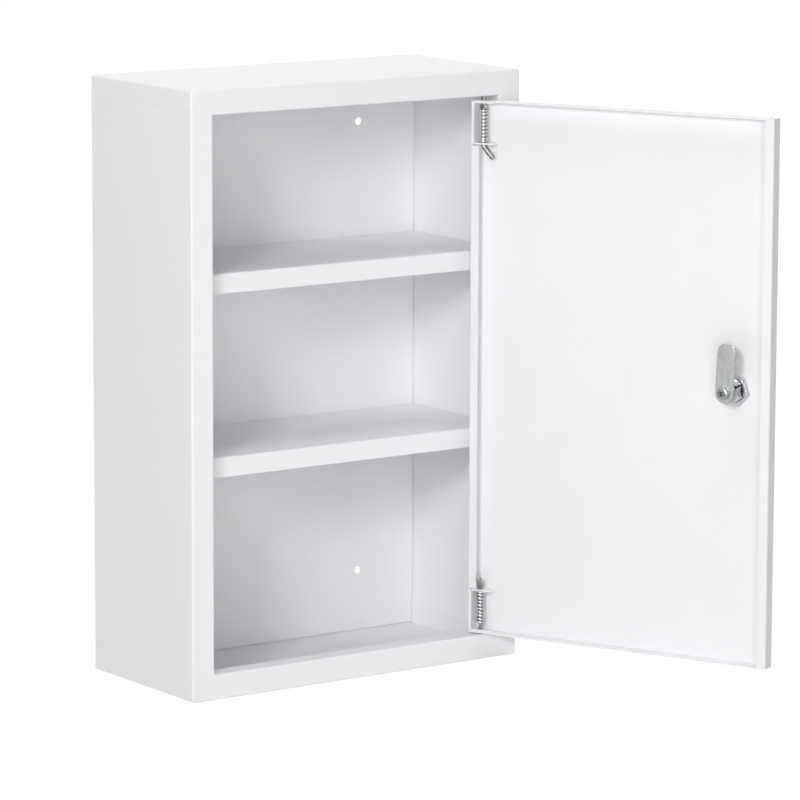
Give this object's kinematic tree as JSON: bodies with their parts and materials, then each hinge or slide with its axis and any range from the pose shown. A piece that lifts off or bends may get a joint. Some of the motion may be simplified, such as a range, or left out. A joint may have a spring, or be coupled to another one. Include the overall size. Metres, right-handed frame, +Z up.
{
  "type": "lockable wall medicine cabinet",
  "caption": "White sheet-steel wall cabinet with fixed shelves, an inset door on sprung pull-pin hinges, and a cam lock with its key.",
  "frame": {"origin": "centre of the four wall holes, on the back panel's rear face, at half the cabinet's height", "axes": "+X to the right seen from the front, +Y towards the wall, +Z up; the front face is at Y = -0.139 and the wall at Y = 0.001"},
  "size_m": [0.392, 0.3619, 0.46],
  "materials": {
    "white_powder_coat": "satin powder coat on steel sheet",
    "zinc_plate": "bright zinc plate, lightly brushed",
    "bright_chrome": "polished",
    "plug_brass": "turned"
  },
  "bodies": {
    "cabinet": {"body_shell": "white_powder_coat", "top_pan": "white_powder_coat", "bottom_pan": "white_powder_coat", "back_panel": "white_powder_coat", "upper_shelf": "white_powder_coat", "lower_shelf": "white_powder_coat"},
    "door": {"door_pan": "white_powder_coat", "upper_hinge_bracket": "white_powder_coat", "lower_hinge_bracket": "white_powder_coat", "upper_hinge_spring": "bright_chrome", "lower_hinge_spring": "bright_chrome", "lock_barrel": "bright_chrome", "lock_nut": "bright_chrome"},
    "upper_pin": {"upper_hinge_pin": "zinc_plate"},
    "lower_pin": {"lower_hinge_pin": "zinc_plate"},
    "lock": {"lock_plug": "plug_brass", "lock_wafers": "plug_brass", "lock_stop_washer": "zinc_plate", "lock_cam": "zinc_plate", "cam_screw_washer": "zinc_plate", "cam_screw": "bright_chrome"},
    "key": {"key": "zinc_plate"}
  },
  "joints": [
    {"name": "door_hinge", "type": "hinge", "parent": "cabinet", "child": "door", "pos_m": [0.1202, -0.133, 0], "axis": [0, 0, 1], "range_deg": [-114.7, 7]},
    {"name": "upper_pin_pull", "type": "slide", "parent": "door", "child": "upper_pin", "axis": [0, 0, -1], "range_m": [0, 0.009], "stiffness_N_per_m": 2000, "deforming": ["upper_hinge_spring"]},
    {"name": "lower_pin_pull", "type": "slide", "parent": "door", "child": "lower_pin", "axis": [0, 0, 1], "range_m": [0, 0.009], "stiffness_N_per_m": 2000, "deforming": ["lower_hinge_spring"]},
    {"name": "lock_turn", "type": "hinge", "parent": "door", "child": "lock", "pos_m": [0.21545, -0.32573, 0], "axis": [0.9085, 0.4179, 0], "range_deg": [-2.8, 87.2]},
    {"name": "key_slide", "type": "slide", "parent": "lock", "child": "key", "axis": [0.9085, 0.4179, 0], "range_m": [0, 0.025]}
  ]
}
